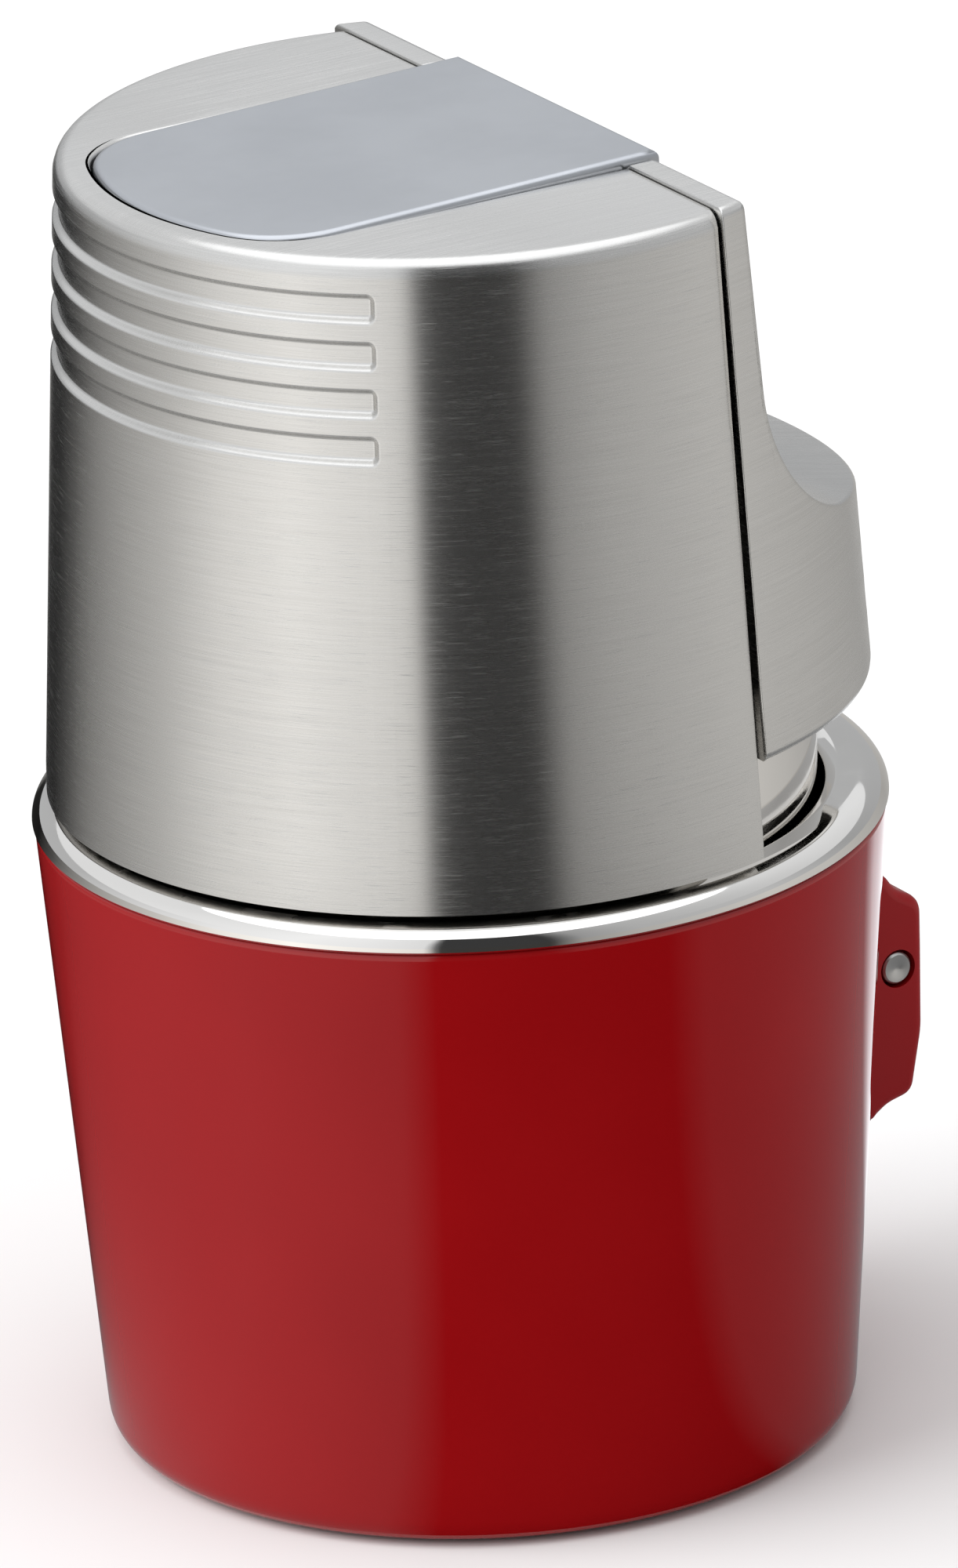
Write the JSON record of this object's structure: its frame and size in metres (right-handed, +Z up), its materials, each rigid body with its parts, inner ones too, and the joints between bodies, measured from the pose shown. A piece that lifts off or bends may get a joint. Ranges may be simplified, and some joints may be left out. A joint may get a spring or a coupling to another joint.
{
  "type": "table lighter",
  "caption": "Tapered brushed-steel gas lighter head with thumb lever and flap lid, standing in a lacquered cup with a chrome rim and a side latch.",
  "frame": {"origin": "centre of the resting face under the cup, on the cup's axis", "axes": "+Z up along the cup's axis, +X towards the thumb lever and the latch, +Y completes a right-handed frame"},
  "size_m": [0.0673, 0.062, 0.0983],
  "materials": {
    "red_lacquer": "high-gloss red lacquer",
    "latch_red": "satin red paint",
    "brushed_casing": "fine horizontal brushing, satin",
    "satin_lid": "smooth satin",
    "polished_chrome": "mirror polish",
    "plain_steel": "machined",
    "spring_steel": "drawn wire",
    "brass": "turned",
    "black_rubber": "matte",
    "black_liner": "matte black",
    "felt": "pressed felt",
    "flint_stone": "dull grey rod"
  },
  "bodies": {
    "base": {"base_cup": "red_lacquer", "base_pad": "felt", "base_weight": "plain_steel", "cup_rim": "polished_chrome", "cup_liner": "black_liner", "latch_bracket": "red_lacquer", "latch_pin": "plain_steel", "latch_spring": "spring_steel"},
    "latch": {"latch_lever": "latch_red"},
    "head": {"casing": "brushed_casing", "chassis_sleeve": "polished_chrome", "fuel_tank": "plain_steel", "tank_cover": "plain_steel", "chassis_plate": "plain_steel", "mechanism_frame": "plain_steel", "chassis_screw_1": "plain_steel", "chassis_screw_2": "plain_steel", "chassis_screw_3": "plain_steel", "frame_screw_1": "plain_steel", "frame_screw_2": "plain_steel", "casing_screw_right": "plain_steel", "casing_screw_left": "plain_steel", "guide_rod_right": "plain_steel", "guide_rod_left": "plain_steel", "wheel_axle": "plain_steel", "lid_hinge_pin": "plain_steel", "valve_arm_pin": "plain_steel", "lever_spring_right": "spring_steel", "lever_spring_left": "spring_steel", "flint_spring": "spring_steel", "lid_spring": "spring_steel", "valve_spring": "spring_steel", "valve_body": "brass", "flint_tube": "brass", "flint_screw": "brass", "wind_guard": "brass", "refill_valve": "brass", "tank_seal": "black_rubber", "flint": "flint_stone"},
    "lever": {"thumb_lever": "brushed_casing", "lever_carriage": "plain_steel", "lever_rack": "brass", "lever_screw_right": "plain_steel", "lever_screw_left": "plain_steel", "rack_screw": "plain_steel"},
    "lid": {"lid": "satin_lid"},
    "wheel": {"spark_wheel": "plain_steel", "wheel_pinion": "brass"},
    "valve_arm": {"valve_fork": "plain_steel"},
    "burner": {"burner_stem": "brass"},
    "refill": {"refill_stem": "brass"},
    "adjuster": {"flame_adjuster": "brass"}
  },
  "joints": [
    {"name": "head_lift", "type": "slide", "parent": "base", "child": "head", "axis": [0, 0, 1], "range_m": [0, 0.045]},
    {"name": "latch_press", "type": "hinge", "parent": "base", "child": "latch", "pos_m": [0.034, 0, 0.0277], "axis": [0, 1, 0], "range_deg": [0, 12], "stiffness_Nm_per_rad": 0.05, "springref_deg": -11.46},
    {"name": "lever_press", "type": "slide", "parent": "head", "child": "lever", "axis": [0, 0, -1], "range_m": [0, 0.0065], "stiffness_N_per_m": 800, "springref_m": -0.004, "deforming": ["lever_spring_right", "lever_spring_left"]},
    {"name": "lid_open", "type": "hinge", "parent": "head", "child": "lid", "pos_m": [0.0052, 0, 0.0946], "axis": [0, 1, 0], "range_deg": [0, 72.1]},
    {"name": "wheel_spin", "type": "hinge", "parent": "head", "child": "wheel", "pos_m": [0.002, 0, 0.082], "axis": [0, 1, 0], "range_deg": [0, 124.3]},
    {"name": "valve_fork_turn", "type": "hinge", "parent": "head", "child": "valve_arm", "pos_m": [-0.001, 0, 0.0545], "axis": [0, 1, 0], "range_deg": [0, 8.1]},
    {"name": "burner_lift", "type": "slide", "parent": "head", "child": "burner", "axis": [0, 0, 1], "range_m": [0, 0.001], "deforming": ["valve_spring"]},
    {"name": "refill_push", "type": "slide", "parent": "head", "child": "refill", "axis": [0, 0, 1], "range_m": [0, 0.001], "stiffness_N_per_m": 200, "springref_m": -0.002},
    {"name": "flame_turn", "type": "hinge", "parent": "head", "child": "adjuster", "pos_m": [0.011, 0, 0.0085], "axis": [0, 0, 1], "range_deg": [-135, 135]}
  ],
  "couplings": [
    {"joint": "lid_open", "follows": "lever_press", "rad_per_m": 193.33},
    {"joint": "wheel_spin", "follows": "lever_press", "rad_per_m": 333.33},
    {"joint": "valve_fork_turn", "follows": "lever_press", "rad_per_m": 21.48},
    {"joint": "burner_lift", "follows": "lever_press", "ratio": 0.15}
  ]
}
